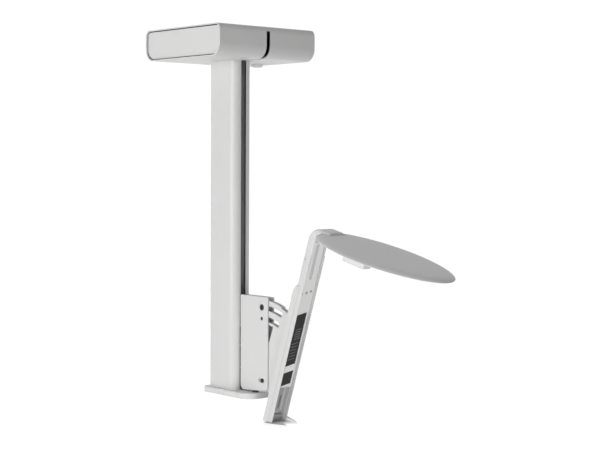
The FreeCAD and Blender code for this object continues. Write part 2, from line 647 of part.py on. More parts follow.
def carriage_fasteners():
    """Bolts from the bracket into the spine, the clamp bolt and nut, the guide pin and the pivot pin."""
    bolts = []
    for z in bracket_bolt_heights():
        shank = rod("y", "-bracket_back - sheet", "-bracket_back + bolt_reach", "0", z, "bolt_radius")
        head = rod("y", "-bracket_back - sheet - bolt_head_tall", "-bracket_back - sheet", "0", z,
                   "bolt_head_radius")
        bolts.append(fuse(shank, head))
    node(group(*bolts), "bracket_bolts")
    clamp_z, guide_z = "-pivot_drop + clamp_reach", "-pivot_drop + guide_reach"
    head = rod("x", "-bracket_half - 0.4", "-cheek_out - 0.35", "-pivot_depth", clamp_z, "clamp_head")
    socket = rod("x", "-bracket_half - 1", "-bracket_half + 2", "-pivot_depth", clamp_z, "clamp_key")
    shank = rod("x", "-cheek_out - 0.35", "bracket_half + clamp_nut_thick + 0.5", "-pivot_depth", clamp_z,
                "clamp_radius")
    node(cut(fuse(head, shank), socket), "clamp_bolt")
    nut = prism("YZ_Plane", "bracket_half", "bracket_half + clamp_nut_thick",
                hexagon("-pivot_depth", clamp_z, "clamp_nut_reach"),
                ("-pivot_depth", clamp_z, "clamp_radius"))
    node(nut, "clamp_nut")
    node(rod("x", "-bracket_half + 0.6", "bracket_half + 0.6", "-pivot_depth", guide_z, "guide_radius"),
         "guide_pin")
    pin = rod("x", "-bracket_half - 0.2", "bracket_half + 3", "-pivot_depth", "-pivot_drop", "pivot_radius")
    recess = rod("x", "-bracket_half - 1", "-bracket_half + 2", "-pivot_depth", "-pivot_drop", "pivot_key")
    node(cut(pin, recess), "pivot_pin")
    nut = prism("YZ_Plane", "bracket_half", "bracket_half + pivot_nut_thick",
                hexagon("-pivot_depth", "-pivot_drop", "pivot_nut_reach"),
                ("-pivot_depth", "-pivot_drop", "pivot_radius"))
    node(nut, "pivot_nut")


def hexagon(x_text, y_text, reach):
    """A six-sided outline with its corners at the given reach."""
    return [("%s + %s * cos(%d deg)" % (x_text, reach, angle),
             "%s + %s * sin(%d deg)" % (y_text, reach, angle)) for angle in range(0, 360, 60)]


# ---- tilt frame, in the arm's frame -----------------------------------------------------------

def polar(radius, angle):
    """A point of the arm's side view at a radius from the pivot and an angle behind the arm's line."""
    return "(%s) * sin((%s) * 1 deg)" % (radius, angle), "(%s) * cos((%s) * 1 deg)" % (radius, angle)


def ring_sector(low, high, inner, outer, ahead, behind):
    """A slice of a ring about the pivot, from an angle ahead of the arm's line to one behind it."""
    slices = []
    for radius in (outer, inner):
        wedge = rod("x", low, high, "0", "0", radius)
        bind(wedge, "Angle", "(%s) + (%s)" % (ahead, behind))
        wedge.Placement = FreeCAD.Placement(VECTOR(0, 0, 0), FreeCAD.Rotation(VECTOR(0, 1, 0), 90))
        bind(wedge, "Placement.Base.x", low)
        turned = group(wedge)
        turned.Placement = FreeCAD.Placement(VECTOR(0, 0, 0), FreeCAD.Rotation(X_AXIS, 1))
        bind(turned, "Placement.Rotation.Angle", "180 - (%s)" % behind)
        slices.append(turned)
    return cut(slices[0], slices[1])


def tilt_cheek(side, name):
    """A sheet cheek: a lobe on the pivot, a web along the arm and two slotted arms about the pivot."""
    low, high = ("-cheek_out", "-cheek_in") if side < 0 else ("cheek_in", "cheek_out")
    seat = "arm_back - saddle_thick"
    web = prism("YZ_Plane", low, high,
                [("-(%s)" % seat, "2 - saddle_bottom"), ("lobe_radius", "-4", "7"),
                 ("lobe_radius", "14", "6"), ("6", "arc_inner - 1", "8"), ("6", "arc_outer - 2"),
                 ("-(%s)" % seat, "sqrt(arc_outer ^ 2 - (%s) ^ 2) - 0.5" % seat)])
    arms = ring_sector(low, high, "arc_inner", "arc_outer", "arc_ahead", "arc_behind")
    lobe = rod("x", low, high, "0", "0", "lobe_radius")
    sheet = fuse(web, arms, lobe)
    tools = [rod("x", "%s - 1" % low, "%s + 1" % high, "0", "0", "pivot_radius + run_gap")]
    for reach, half in (("clamp_reach", "clamp_radius + clamp_play"),
                        ("guide_reach", "guide_radius + guide_play")):
        tools.append(ring_sector("%s - 1" % low, "%s + 1" % high, "%s - (%s)" % (reach, half),
                                 "%s + %s" % (reach, half), "slot_ahead", "slot_behind"))
        for angle in ("-slot_ahead", "slot_behind"):
            y, z = polar(reach, angle)
            tools.append(rod("x", "%s - 1" % low, "%s + 1" % high, y, z, half))
    node(cut(sheet, *tools), name, "arm")


def tilt_frame():
    """The spacers between the cheeks, the saddle they stand on and its screws."""
    inside = "cheek_in - run_gap"
    spacer = rod("x", "-(%s)" % inside, inside, "0", "0", "spacer_radius")
    hole = rod("x", "-cheek_in", "cheek_in", "0", "0", "pivot_radius + run_gap")
    upper = rod("x", "-(%s)" % inside, inside, "-tie_back", "tie_up", "tie_radius")
    node(group(cut(spacer, hole), upper), "cheek_spacers", "arm")
    saddle = prism("XY_Plane", "-saddle_bottom", "saddle_top",
                   rectangle("-saddle_half", "saddle_half", "-arm_back", "-arm_back + saddle_thick"))
    pocket(saddle, "XZ_Plane", "arm_back - 4", "arm_back + 1", *saddle_screw_holes())
    node(saddle, "arm_saddle", "arm")
    screws = []
    for x, z in saddle_screw_places():
        head = rod("y", "-arm_back + saddle_thick", "-arm_back + saddle_thick + 2", x, z, "2 * screw_radius")
        shank = rod("y", "-arm_back - screw_reach", "-arm_back + saddle_thick", x, z, "screw_radius")
        screws.append(fuse(head, shank))
    node(group(*screws), "saddle_screws", "arm")


def saddle_screw_places():
    low, high = "14 - saddle_bottom", "saddle_top - 16"
    heights = ["(%s) + ((%s) - (%s)) * %d / 3" % (low, high, low, step) for step in range(4)]
    return [(x, z) for z in heights for x in ("-saddle_screw_side", "saddle_screw_side")]


def saddle_screw_holes():
    return [(x, z, "screw_radius") for x, z in saddle_screw_places()]


def rear_channel():
    """The outer channel that the arm slides in, flush with the arm's sides."""
    inner = "arm_waist + slide_gap"
    section = [("-arm_half", "-arm_back", "1.5"), ("-arm_half", "-rear_lip"), ("-(%s)" % inner, "-rear_lip"),
               ("-(%s)" % inner, "-arm_spine + slide_gap"), (inner, "-arm_spine + slide_gap"),
               (inner, "-rear_lip"),
               ("arm_half", "-rear_lip"), ("arm_half", "-arm_back", "1.5")]
    body = prism("XY_Plane", "-rear_bottom", "rear_top", section)
    slope = [("-arm_back + 1", "rear_top - 16"), ("-arm_back + 1", "rear_top + 1"),
             ("-arm_spine + 2", "rear_top + 1")]
    pocket(body, "YZ_Plane", "-arm_half - 1", "arm_half + 1", slope)
    pocket(body, "XZ_Plane", "arm_back - 1", "arm_back + screw_reach", *saddle_screw_holes())
    level_end(body)
    node(body, "rear_channel", "arm")


# ---- arm --------------------------------------------------------------------------------------

def level_cut(level, y_text):
    """The arm frame's height where a level plane of the station crosses a given depth."""
    return "(-(%s) + pivot_drop - (%s) * sin(lean * 1 deg)) / cos(lean * 1 deg)" % (level, y_text)


def level_end(body):
    """Cut a channel off level, just above the foot."""
    cut_at, low, behind, ahead = "foot_level - foot_gap", "-120", "-arm_back + 2", "-arm_front - 2"
    below = [(behind, level_cut(cut_at, behind)), (behind, low), (ahead, low),
             (ahead, level_cut(cut_at, ahead))]
    pocket(body, "YZ_Plane", "-arm_half - 1", "arm_half + 1", below)


def arm_channel():
    """The inner channel, open to the front, waisted where the outer channel wraps it."""
    step = "-arm_step - arm_wall"
    section = [("-arm_waist", "-arm_spine"), ("-arm_waist", "-arm_step"), ("-arm_half", "-arm_step"),
               ("-arm_half", "-arm_front", "1"), ("-arm_half + arm_wall", "-arm_front", "1"),
               ("-arm_half + arm_wall", step), ("-arm_waist + arm_wall", step),
               ("-arm_waist + arm_wall", "-arm_spine - arm_wall"),
               ("arm_waist - arm_wall", "-arm_spine - arm_wall"), ("arm_waist - arm_wall", step),
               ("arm_half - arm_wall", step), ("arm_half - arm_wall", "-arm_front", "1"),
               ("arm_half", "-arm_front", "1"), ("arm_half", "-arm_step"), ("arm_waist", "-arm_step"),
               ("arm_waist", "-arm_spine")]
    body = prism("XY_Plane", "-rear_bottom", "arm_top", section)
    level_end(body)
    elbow_screw_holes(body)
    node(body, "arm_channel", "arm")


def arm_cover():
    """The sunk front cover with its long cable slot and three small holes."""
    half = "arm_half - arm_wall - fit_gap"
    body = prism("XZ_Plane", "arm_step + arm_wall", "cover_face",
                 rectangle("-(%s)" % half, half, "cover_bottom", "cover_top"))
    pocket(body, "XZ_Plane", "arm_step", "cover_face + 1", cable_slot("0"))
    pocket(body, "XZ_Plane", "arm_step", "cover_face + 1",
           *[(x, "plug_up + (%s) * label_rise / (2 * label_half)" % x, "plug_radius")
             for x in ("-plug_side", "0", "plug_side")])
    node(body, "arm_cover", "arm")


def cable_slot(grow):
    """The long slot's round-ended outline, grown all round."""
    half = "cable_half + %s" % grow
    return rectangle("-(%s)" % half, half, "slot_bottom - %s" % grow, "slot_top + %s" % grow,
                     "%s - 0.2" % half)


def slanted(half, low, high, radius=None):
    """A four-sided outline whose ends rise together from left to right."""
    tail = (radius,) if radius else ()
    left, right = "%s - label_rise * (%s) / (2 * label_half)", "%s + label_rise * (%s) / (2 * label_half)"
    return [("-(%s)" % half, left % (low, half)) + tail, (half, right % (low, half)) + tail,
            (half, right % (high, half)) + tail, ("-(%s)" % half, left % (high, half)) + tail]


def arm_trim():
    """The slot's raised rim, the dark label place with its pale band, and the rail at the open foot end."""
    rim = prism("XZ_Plane", "cover_face", "cover_face + rim_proud", cable_slot("rim_width"), cable_slot("0"))
    node(rim, "slot_rim", "arm")
    label_face = "cover_face + label_thick"
    label = prism("XZ_Plane", "cover_face", label_face,
                  slanted("label_half", "label_bottom", "label_top", "1"))
    node(label, "label_plate", "arm")
    band = prism("XZ_Plane", label_face, "%s + band_thick" % label_face,
                 slanted("label_half - 0.3", "band_bottom", "band_top"))
    node(band, "label_band", "arm")
    spine = "arm_spine + arm_wall"
    rail = prism("XZ_Plane", spine, "%s + latch_tall" % spine,
                 rectangle("-latch_half", "latch_half", "-latch_bottom", "latch_top", "2"))
    pocket(rail, "XZ_Plane", "%s - 1" % spine, "%s + latch_tall + 1" % spine,
           rectangle("-2.5", "2.5", "-latch_bottom + 8", "latch_top - 18", "2.3"))
    node(rail, "latch_rail", "arm")


def elbow_screw_holes(body):
    """Sunk screw holes in the channel's two side walls and on into the elbow's plug."""
    hole = ("-elbow_screw_out", "arm_top - elbow_screw_drop", "elbow_screw_radius")
    pocket(body, "YZ_Plane", "-arm_waist - 1", "-arm_waist + elbow_screw_reach", hole)
    pocket(body, "YZ_Plane", "arm_waist - elbow_screw_reach", "arm_waist + 1", hole)


def elbow_bracket():
    """The bend at the arm's top: a plug inside the channel and a nose that holds the head hinge."""
    rise = "tan((lean - head_pitch) * 1 deg)"
    crown = "hinge_up + nose_radius"
    under = "hinge_up - nose_radius"
    outline = [("-arm_spine", "arm_top"),
               ("-arm_spine", "%s - (hinge_out - arm_spine) * %s" % (crown, rise), "elbow_round"),
               ("-hinge_out - nose_radius", "%s + nose_radius * %s" % (crown, rise), "nose_radius - 0.4"),
               ("-hinge_out - nose_radius", "%s + nose_radius * %s" % (under, rise), "nose_radius - 0.6"),
               ("-arm_front", "%s - (hinge_out - arm_front) * %s" % (under, rise), "6"),
               ("-arm_front", "arm_top")]
    body = prism("YZ_Plane", "-arm_half", "arm_half", outline)
    spine, crown_low = number("-arm_spine"), number("hinge_up + nose_radius - 5")
    soften(body, "5", lambda bounds: bounds.XLength < 0.01 and bounds.ZLength > 0.5
           and (bounds.YMax > spine - 0.1 or bounds.ZMin > crown_low))
    recess = "arm_half - arm_wall"
    pocket(body, "XY_Plane", "arm_top - 1", "cover_top",
           rectangle("-(%s)" % recess, recess, "-arm_front - 1", "-arm_step - arm_wall"))
    plug = "arm_waist - arm_wall - fit_gap"
    extend(body, "XY_Plane", "arm_top - elbow_plug", "arm_top + 0.5",
           rectangle("-(%s)" % plug, plug,
                     "-arm_step - arm_wall + fit_gap", "-arm_spine - arm_wall - fit_gap"))
    pocket(body, "YZ_Plane", "-arm_half - 1", "arm_half + 1", ("-hinge_out", "hinge_up", "pin_radius"))
    elbow_screw_holes(body)
    node(body, "elbow_bracket", "arm")
    ends = [rod("x", low, high, "-elbow_screw_out", "arm_top - elbow_screw_drop", "elbow_screw_radius")
            for low, high in (("-arm_waist", "-arm_waist + elbow_screw_reach"),
                              ("arm_waist - elbow_screw_reach", "arm_waist"))]
    node(group(*ends), "elbow_screws", "arm")
    node(rod("x", "-pin_half", "pin_half", "-hinge_out", "hinge_up", "pin_radius"), "head_hinge_pin", "arm")


def foot():
    """The forked foot under the arm, the plug that ties it to the channel, and its screw."""
    inner = "arm_waist - arm_wall - fit_gap"
    back, front = "-arm_spine - arm_wall - fit_gap", "-arm_spine - arm_wall - 8"
    plug = prism("YZ_Plane", "-(%s)" % inner, inner,
                 [(back, "-foot_plug_top"), (back, level_cut("foot_level", back)),
                  (front, level_cut("foot_level", front)), (front, "-foot_plug_top")])
    node(plug, "foot_plug", "arm")
    fork = prism("XY_Plane", "-fork_thick", "0",
                 [("-29", "37", "16"), ("-31", "-5", "20"), ("-30", "-45"), ("-17", "-29", "8"),
                  ("0", "-12", "9"),
                  ("17", "-29", "8"), ("30", "-45"), ("31", "-5", "20"), ("29", "37", "16")],
                 ("0", "0", "foot_screw_radius"))
    soften(fork, "1", lambda bounds: flat_at("0")(bounds) and bounds.DiagonalLength > 8)
    fork.Placement = FreeCAD.Placement(VECTOR(0, 0, 0), FreeCAD.Rotation(Z_AXIS, 1))
    bind(fork, "Placement.Base.y", "-fork_centre")
    bind(fork, "Placement.Base.z", "-foot_level")
    bind(fork, "Placement.Rotation.Angle", "fork_yaw")
    node(fork, "foot_fork")
    shank = rod("z", "-foot_level - fork_thick", "-foot_level", "0", "-fork_centre", "foot_screw_radius")
    head = rod("z", "-foot_level", "-foot_level + 2.6", "0", "-fork_centre", "2 * foot_screw_radius")
    node(fuse(shank, head), "foot_screw")


# ---- lamp and camera head, in the head's frame ------------------------------------------------

def ahead_of(limit, thing):
    """Keep the part of an oval plate that lies ahead of a given depth."""
    return common(thing, block("-150", "150", "-400", limit, "-20", "20"))


def lamp_shell():
    """The oval top cover with solid hinge ears and a hollow for the light."""
    plate = oval("leaf_long", "leaf_wide", "-leaf_middle", "-leaf_half_thick", "leaf_half_thick")
    plate = rounded(plate, "leaf_edge", lambda bounds: bounds.ZLength < 0.01)
    hollow = ahead_of("-leaf_hollow_start", oval("leaf_long - leaf_rim", "leaf_wide - leaf_rim",
                                                 "-leaf_middle",
                                  "-leaf_half_thick - 1", "leaf_half_thick - 2"))
    notch = block("-notch_half", "notch_half", "-notch_front", "60", "-20", "20")
    bore = rod("x", "-120", "120", "0", "0", "pin_radius + run_gap")
    keep = block("-pin_half - 1", "pin_half + 1", "-10", "10", "-20", "20")
    screws = [rod("z", "0", "leaf_half_thick - 0.6", x, y, "pod_screw_radius") for x, y in pod_screw_places()]
    node(cut(plate, hollow, notch, common(bore, keep), *screws), "lamp_shell", "leaf")


def pod_screw_places():
    return [("%s * pod_screw_side" % sx, "-pod_middle + %s * (pod_long / 2 - pod_screw_inset)" % sy)
            for sx in ("-1", "1") for sy in ("-1", "1")]


def pod_opening(grow, low, high):
    half_wide = "pod_wide / 2 - pod_collar + %s" % grow
    half_long = "pod_long / 2 - pod_collar + %s" % grow
    return block("-(%s)" % half_wide, half_wide, "-pod_middle - (%s)" % half_long,
                 "-pod_middle + %s" % half_long, low, high)


def lamp_layers():
    """Heat spreader, LED board and diffuser, each with an opening for the camera pod."""
    layers = (("heat_spreader", "14", "0.9", "leaf_half_thick - 2", "-30"),
              ("led_board", "14", "-0.7", "0.9", "-30"),
              ("light_diffuser", "leaf_rim + 0.3", "-4.4", "-2.4", "-18.4"))
    for name, inset, low, high, limit in layers:
        leaf = oval("leaf_long - (%s)" % inset, "leaf_wide - (%s)" % inset, "-leaf_middle", low, high)
        plate = ahead_of(limit, leaf)
        node(cut(plate, pod_opening("0.4", "-20", "20")), name, "leaf")


def pod_outline(inset, radius=None):
    """The pod's outline seen from above, moved inwards."""
    half_wide, half_long = "(pod_wide / 2 - %s)" % inset, "(pod_long / 2 - %s)" % inset
    return rectangle("-%s" % half_wide, half_wide, "-pod_middle - %s" % half_long,
                     "-pod_middle + %s" % half_long, radius)


def camera_pod():
    """The pod under the head: hollow shell, sensor board, lens barrel, glass and screws."""
    low, high = "-leaf_half_thick - pod_drop", "-4.4"
    body = prism("XY_Plane", low, high, pod_outline("0", "pod_round"))
    soften(body, "pod_edge", flat_at(low))
    extend(body, "XY_Plane", "-4.5", "leaf_half_thick - 2", pod_outline("pod_collar"))
    pocket(body, "XY_Plane", "%s + pod_floor" % low, "leaf_half_thick - 4.5", pod_outline("pod_wall", "4"))
    pocket(body, "XY_Plane", "%s - 1" % low, "%s + pod_floor + 1" % low, ("0", "-pod_middle", "lens_radius"))
    pocket(body, "XY_Plane", "0", "leaf_half_thick - 1",
           *[(x, y, "pod_screw_radius") for x, y in pod_screw_places()])
    node(body, "pod_shell", "leaf")
    side, reach = "pod_wide / 2 - pod_wall - 1", "pod_long / 2 - pod_wall - 3"
    board = block("-(%s)" % side, side, "-pod_middle - (%s)" % reach, "-pod_middle + %s" % reach,
                  "-sensor_drop - sensor_thick", "-sensor_drop")
    posts = [rod("z", "-sensor_drop", "leaf_half_thick - 4.5", x,
                 "-pod_middle + %s * (%s - post_inset)" % (sy, reach), "post_radius")
             for x in ("-4", "4") for sy in ("-1", "1")]
    node(fuse(board, *posts), "sensor_board", "leaf")
    tube = rod("z", "%s - 1.5" % low, "-sensor_drop - sensor_thick", "0", "-pod_middle", "lens_radius - 0.2")
    glass_low, glass_radius = "%s + lens_sink" % low, "lens_radius - lens_wall"
    well = rod("z", "%s - 2" % low, "%s + 2 * glass_thick" % glass_low, "0", "-pod_middle", glass_radius)
    node(cut(tube, well), "lens_barrel", "leaf")
    node(rod("z", glass_low, "%s + glass_thick" % glass_low, "0", "-pod_middle", glass_radius),
         "lens_glass", "leaf")
    screws = [rod("z", "0.7", "leaf_half_thick - 0.7", x, y, "pod_screw_radius - 0.05")
              for x, y in pod_screw_places()]
    node(group(*screws), "pod_screws", "leaf")


# ---- build, test and write --------------------------------------------------------------------

def build():
    housing_shell()
    end_cap(-1, "end_cap_left")
    end_cap(1, "end_cap_right")
    mount_plate()
    shell_screws()
    column_socket()
    socket_screws()
    electronics()
    standby_button()
    column_extrusion()
    slot_gasket(-1, "slot_gasket_left")
    slot_gasket(1, "slot_gasket_right")
    column_end()
    carriage_spine()
    glide_pads()
    bracket_channel()
    carriage_fasteners()
    tilt_cheek(-1, "tilt_cheek_left")
    tilt_cheek(1, "tilt_cheek_right")
    tilt_frame()
    rear_channel()
    arm_channel()
    arm_cover()
    arm_trim()
    elbow_bracket()
    foot()
    lamp_shell()
    lamp_layers()
    camera_pod()
    DOC.recompute()


def check_and_export():
    """Stop on any failed object or bad shape, then write one STEP file per sub-part."""
    for thing in DOC.Objects:
        if "Invalid" in thing.State or "Error" in thing.State:
            raise RuntimeError("%s (%s) failed: %s" % (thing.Name, thing.Label, thing.State))
    for name, thing in NODES.items():
        shape = thing.Shape
        if shape.isNull() or not shape.isValid() or not shape.Solids:
            raise RuntimeError(name + " has no valid solid")
    os.makedirs("parts", exist_ok=True)
    for name, thing in NODES.items():
        thing.Shape.exportStep(os.path.join("parts", name + ".step"))
    print("wrote", len(NODES), "sub-parts")


build()
check_and_export()
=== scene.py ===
import json
import math

import bmesh
import bpy
from mathutils import Matrix, Vector


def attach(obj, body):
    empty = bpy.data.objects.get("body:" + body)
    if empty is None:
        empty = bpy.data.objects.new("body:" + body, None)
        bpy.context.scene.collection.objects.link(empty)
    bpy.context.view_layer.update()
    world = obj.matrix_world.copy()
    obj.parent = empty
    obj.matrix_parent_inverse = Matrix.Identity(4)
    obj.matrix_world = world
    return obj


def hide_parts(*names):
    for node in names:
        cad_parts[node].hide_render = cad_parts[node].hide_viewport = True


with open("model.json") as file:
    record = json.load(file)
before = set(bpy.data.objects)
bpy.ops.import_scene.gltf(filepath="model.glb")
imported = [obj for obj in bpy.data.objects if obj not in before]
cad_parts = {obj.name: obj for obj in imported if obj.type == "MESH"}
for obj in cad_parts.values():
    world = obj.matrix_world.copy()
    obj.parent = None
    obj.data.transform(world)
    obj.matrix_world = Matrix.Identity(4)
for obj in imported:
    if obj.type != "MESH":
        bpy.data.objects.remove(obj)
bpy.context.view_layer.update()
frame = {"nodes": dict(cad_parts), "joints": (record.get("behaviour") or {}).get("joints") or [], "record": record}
RECORD = frame["record"]
NODES = frame["nodes"]

MM = 0.001


# ---- small helpers for building node trees

def maths(tree, kind, operation):
    """A maths node set to one operation."""
    made = tree.nodes.new(kind)
    made.operation = operation
    return made


def new_group(name, own_input, usual_roughness):
    """A shader effect that takes a place, a colour, one input of its own and a roughness."""
    group = bpy.data.node_groups.new(name, "ShaderNodeTree")
    for label, kind, default in (("Vector", "NodeSocketVector", None), ("Colour", "NodeSocketColor", None),
                                 own_input, ("Roughness", "NodeSocketFloat", usual_roughness)):
        socket = group.interface.new_socket(name=label, in_out="INPUT", socket_type=kind)
        if default is not None:
            socket.default_value = default
    for label, kind in (("Colour", "NodeSocketColor"), ("Roughness", "NodeSocketFloat"),
                        ("Height", "NodeSocketFloat")):
        group.interface.new_socket(name=label, in_out="OUTPUT", socket_type=kind)
    return group, group.nodes.new("NodeGroupInput"), group.nodes.new("NodeGroupOutput")


def noise(tree, vector, scale, detail, roughness=0.5):
    """Noise over a vector, scale in features per metre."""
    made = tree.nodes.new("ShaderNodeTexNoise")
    made.inputs["Detail"].default_value = detail
    made.inputs["Roughness"].default_value = roughness
    tree.links.new(vector, made.inputs["Vector"])
    if isinstance(scale, (int, float)):
        made.inputs["Scale"].default_value = scale
    else:
        tree.links.new(scale, made.inputs["Scale"])
    return made.outputs["Fac"]


def spread(tree, value, low, high):
    """Map a 0..1 value to low..high, either of which may be a socket."""
    made = tree.nodes.new("ShaderNodeMapRange")
    tree.links.new(value, made.inputs["Value"])
    for label, end in (("To Min", low), ("To Max", high)):
        if isinstance(end, (int, float)):
            made.inputs[label].default_value = end
        else:
            tree.links.new(end, made.inputs[label])
    return made.outputs["Result"]


def varied(tree, value, pattern, low, high):
    """A value multiplied by a pattern spread from low to high."""
    made = maths(tree, "ShaderNodeMath", "MULTIPLY")
    tree.links.new(value, made.inputs[0])
    tree.links.new(spread(tree, pattern, low, high), made.inputs[1])
    return made.outputs[0]


def tint(tree, colour, pattern, low, high):
    """A colour darkened by a pattern spread from low to high."""
    made = maths(tree, "ShaderNodeVectorMath", "SCALE")
    tree.links.new(colour, made.inputs[0])
    tree.links.new(spread(tree, pattern, low, high), made.inputs["Scale"])
    return made.outputs[0]


def join_outputs(group, leave, colour, roughness, height):
    """Link an effect's three results to its output node."""
    for label, source in (("Colour", colour), ("Roughness", roughness), ("Height", height)):
        group.links.new(source, leave.inputs[label])


# ---- shared effects: pattern scales are in features per metre

PEEL_SCALE, FINE_SCALE, MOTTLE_SCALE = 620.0, 2600.0, 14.0
FINE_SHARE = 0.3
FLOW_SCALE = 9.0
BRUSH_SCALE, MARK_SCALE = 1500.0, 60.0


def powder_coat_effect():
    """Sprayed powder: orange peel, a faint broad mottle and a little sheen variation."""
    group, entry, leave = new_group("powder_coat_effect", ("Mottle", "NodeSocketFloat", 0.03), 0.42)
    vector = entry.outputs["Vector"]
    peel = noise(group, vector, PEEL_SCALE, 2.0)
    fine = noise(group, vector, FINE_SCALE, 2.0)
    broad = noise(group, vector, MOTTLE_SCALE, 4.0)
    darkest = maths(group, "ShaderNodeMath", "SUBTRACT")
    darkest.inputs[0].default_value = 1.0
    group.links.new(entry.outputs["Mottle"], darkest.inputs[1])
    height = maths(group, "ShaderNodeMath", "MULTIPLY_ADD")
    group.links.new(fine, height.inputs[0])
    height.inputs[1].default_value = FINE_SHARE
    group.links.new(peel, height.inputs[2])
    join_outputs(group, leave, tint(group, entry.outputs["Colour"], broad, darkest.outputs[0], 1.0),
                 varied(group, entry.outputs["Roughness"], peel, 0.88, 1.12), height.outputs[0])
    return group


def moulded_effect():
    """Fine eroded mould texture with slight flow variation."""
    group, entry, leave = new_group("moulded_effect", ("Grain", "NodeSocketFloat", 1800.0), 0.5)
    vector = entry.outputs["Vector"]
    grain = noise(group, vector, entry.outputs["Grain"], 3.0, 0.7)
    flow = noise(group, vector, FLOW_SCALE, 3.0)
    join_outputs(group, leave, tint(group, entry.outputs["Colour"], flow, 0.97, 1.0),
                 varied(group, entry.outputs["Roughness"], grain, 0.85, 1.15), grain)
    return group


def metal_effect():
    """Brushed or plated metal: grain drawn out along one axis, and faint handling marks."""
    group, entry, leave = new_group("metal_effect", ("Stretch", "NodeSocketVector", (1.0, 1.0, 1.0)), 0.35)
    scaled = maths(group, "ShaderNodeVectorMath", "MULTIPLY")
    group.links.new(entry.outputs["Vector"], scaled.inputs[0])
    group.links.new(entry.outputs["Stretch"], scaled.inputs[1])
    grain = noise(group, scaled.outputs[0], BRUSH_SCALE, 4.0)
    marks = noise(group, entry.outputs["Vector"], MARK_SCALE, 5.0)
    join_outputs(group, leave, tint(group, entry.outputs["Colour"], marks, 0.86, 1.0),
                 varied(group, entry.outputs["Roughness"], grain, 0.75, 1.3), grain)
    return group


EFFECTS = {"powder": powder_coat_effect(), "moulded": moulded_effect(), "metal": metal_effect()}
BUMP_REACH = 0.1


def surface(name, effect, colour, roughness, bump, metallic=0.0, coat=0.0, **values):
    """A Principled material whose colour, roughness and bump come from one shared effect."""
    material = bpy.data.materials.new(name)
    material.use_nodes = True
    tree = material.node_tree
    shader = tree.nodes["Principled BSDF"]
    place = tree.nodes.new("ShaderNodeTexCoord")
    placed = tree.nodes.new("ShaderNodeGroup")
    placed.node_tree = EFFECTS[effect]
    tree.links.new(place.outputs["Object"], placed.inputs["Vector"])
    placed.inputs["Colour"].default_value = (*colour, 1.0)
    placed.inputs["Roughness"].default_value = roughness
    for label, value in values.items():
        placed.inputs[label].default_value = value
    tree.links.new(placed.outputs["Colour"], shader.inputs["Base Color"])
    tree.links.new(placed.outputs["Roughness"], shader.inputs["Roughness"])
    raised = tree.nodes.new("ShaderNodeBump")
    raised.inputs["Strength"].default_value = bump
    raised.inputs["Distance"].default_value = BUMP_REACH * MM
    tree.links.new(placed.outputs["Height"], raised.inputs["Height"])
    tree.links.new(raised.outputs["Normal"], shader.inputs["Normal"])
    shader.inputs["Metallic"].default_value = metallic
    shader.inputs["Coat Weight"].default_value = coat
    return material


# ---- finishes: name, effect, colour, roughness, strength of the bump

ALONG_BAR = (1.0, 1.0, 0.04)
FINISHES = {
    "white_coat": surface("white_powder_coat", "powder", (0.70, 0.70, 0.695), 0.42, 0.10),
    "column_coat": surface("column_powder_coat", "powder", (0.70, 0.70, 0.695), 0.40, 0.08),
    "arm_coat": surface("arm_powder_coat", "powder", (0.69, 0.69, 0.685), 0.40, 0.08),
    # the foot's white powder coat is made lighter than the rest: painted light that brightens the foot
    "cast_foot": surface("foot_powder_coat_painted_light", "powder", (0.92, 0.92, 0.915), 0.45, 0.14),
    "head_coat": surface("head_moulded_shell", "moulded", (0.70, 0.70, 0.70), 0.46, 0.06),
    "cap_plastic": surface("end_cap_plastic", "moulded", (0.71, 0.71, 0.705), 0.50, 0.08),
    "button_plastic": surface("button_plastic", "moulded", (0.86, 0.86, 0.86), 0.48, 0.06),
    "grey_plastic": surface("grey_moulding", "moulded", (0.42, 0.43, 0.44), 0.55, 0.12),
    "black_plastic": surface("black_moulding", "moulded", (0.025, 0.025, 0.027), 0.50, 0.12),
    # black rubber for the rubber parts; the same black also fills the gaps at the carriage and the end caps as
    # painted shade
    "black_rubber": surface("black_rubber_and_painted_gap_shade", "moulded", (0.022, 0.022, 0.023), 0.75, 0.20),
    "board_green": surface("green_board", "moulded", (0.03, 0.16, 0.06), 0.38, 0.05),
    "board_white": surface("white_board", "moulded", (0.82, 0.82, 0.80), 0.40, 0.05),
    "label_black": surface("black_label_film", "moulded", (0.012, 0.012, 0.013), 0.22, 0.02, coat=0.4),
    "label_pale": surface("pale_label_band", "moulded", (0.97, 0.97, 0.97), 0.45, 0.02),
    "diffuser_sheet": surface("opal_sheet", "moulded", (0.90, 0.90, 0.88), 0.30, 0.10),
    "lens_glass": surface("coated_glass", "moulded", (0.05, 0.06, 0.10), 0.05, 0.0, coat=1.0),
    "zinc_steel": surface("zinc_plated_steel", "metal", (0.62, 0.63, 0.65), 0.34, 0.06, metallic=1.0),
    "supply_case": surface("supply_case_sheet", "metal", (0.68, 0.69, 0.70), 0.38, 0.06, metallic=1.0),
    "dark_steel": surface("blackened_steel", "metal", (0.10, 0.10, 0.105), 0.38, 0.06, metallic=1.0),
    "cast_grey": surface("blasted_aluminium", "metal", (0.50, 0.51, 0.52), 0.50, 0.12, metallic=1.0),
    "brass_post": surface("turned_brass", "metal", (0.66, 0.49, 0.22), 0.30, 0.05, metallic=1.0),
    "spreader_metal": surface("rolled_aluminium", "metal", (0.72, 0.73, 0.74), 0.36, 0.05, metallic=1.0,
                              Stretch=ALONG_BAR),
}


# two nodes take a finish of their own instead of their slot's: the arm cover a lighter copy of the arm's powder
# coat, painted light that brightens the arm's front, and the slot rim the pale label band
OWN_FINISHES = {
    "arm_cover": surface("arm_cover_coat_painted_light", "powder", (0.93, 0.93, 0.925), 0.42, 0.06),
    "slot_rim": FINISHES["label_pale"],
}


